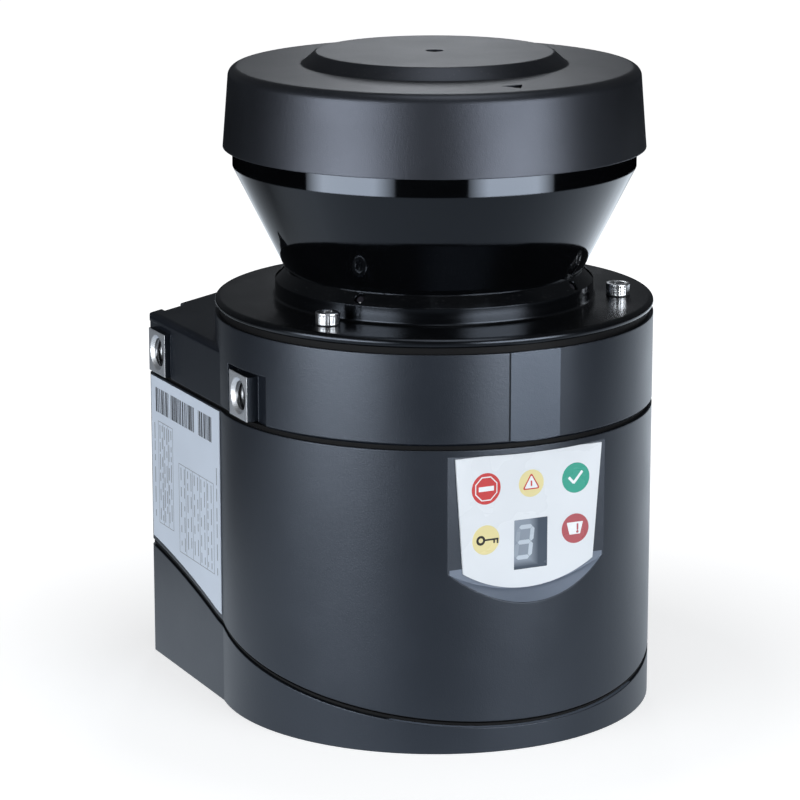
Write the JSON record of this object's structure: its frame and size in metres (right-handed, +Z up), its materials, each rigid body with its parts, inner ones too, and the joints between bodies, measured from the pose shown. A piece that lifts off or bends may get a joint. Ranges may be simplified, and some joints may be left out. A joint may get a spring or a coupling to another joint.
{
  "type": "safety laser scanner",
  "caption": "Compact area scanner: smoked conical window under a round cap, on a round cast housing with a rear block, wedge base and a front status display.",
  "frame": {"origin": "point where the scan axis meets the base plane", "axes": "+Z up along the scan axis, -Y to the front with the display, +X to the right seen from the front"},
  "size_m": [0.1022, 0.106, 0.152],
  "materials": {
    "housing_paint": "satin black powder coat on die-cast aluminium, machined boss faces",
    "cap_plastic": "fine-textured black moulding",
    "window_plastic": "polished black infrared-transparent moulding",
    "seal_rubber": "matt",
    "screw_steel": "zinc-plated",
    "display_film": "white printed film",
    "label_film": "white label film",
    "digit_plastic": "grey digit housing",
    "clear_plastic": "clear light guides",
    "sensor_plastic": "dark sensor lens",
    "frame_aluminium": "die-cast, bare",
    "black_aluminium": "black anodised",
    "motor_steel": "laminated steel",
    "winding_copper": "enamelled copper",
    "magnet": "bonded magnet",
    "rotor_plastic": "glass-filled moulding",
    "mirror_glass": "front-surface mirror",
    "lens_glass": "polished",
    "brass": "turned",
    "circuit_board": "green solder resist",
    "connector_plastic": "black moulding",
    "gland_metal": "nickel-plated"
  },
  "bodies": {
    "housing": {"lower_housing": "housing_paint", "upper_housing": "housing_paint", "system_plug": "housing_paint", "plug_screws": "screw_steel", "plug_seal": "seal_rubber", "housing_seal": "seal_rubber", "housing_screws": "screw_steel", "cover_seal": "seal_rubber", "optics_cover": "window_plastic", "cover_screws": "screw_steel", "cap": "cap_plastic", "contamination_sensors": "sensor_plastic", "scanner_frame": "frame_aluminium", "frame_screws": "screw_steel", "stator_core": "motor_steel", "stator_coils": "winding_copper", "lower_bearing": "screw_steel", "upper_bearing": "screw_steel", "encoder_sensor": "connector_plastic", "receiver_lens": "lens_glass", "lens_ring": "black_aluminium", "lens_barrel": "black_aluminium", "laser_module": "brass", "detector_board": "circuit_board", "main_board": "circuit_board", "logic_board": "circuit_board", "board_spacers": "brass", "board_screws": "screw_steel", "display_board": "circuit_board", "digit_display": "digit_plastic", "light_pipes": "clear_plastic", "display_panel": "display_film", "housing_connector": "connector_plastic", "plug_connector": "connector_plastic", "plug_board": "circuit_board", "cable_gland": "gland_metal", "type_label": "label_film"},
    "rotor": {"rotor_shaft": "screw_steel", "shaft_clip": "motor_steel", "motor_bell": "frame_aluminium", "magnet_ring": "magnet", "mirror_holder": "rotor_plastic", "scan_mirror": "mirror_glass", "encoder_disc": "brass"}
  },
  "joints": [
    {"name": "mirror_spin", "type": "hinge", "parent": "housing", "child": "rotor", "pos_m": [0, 0, 0.116], "axis": [0, 0, 1], "continuous": true}
  ]
}
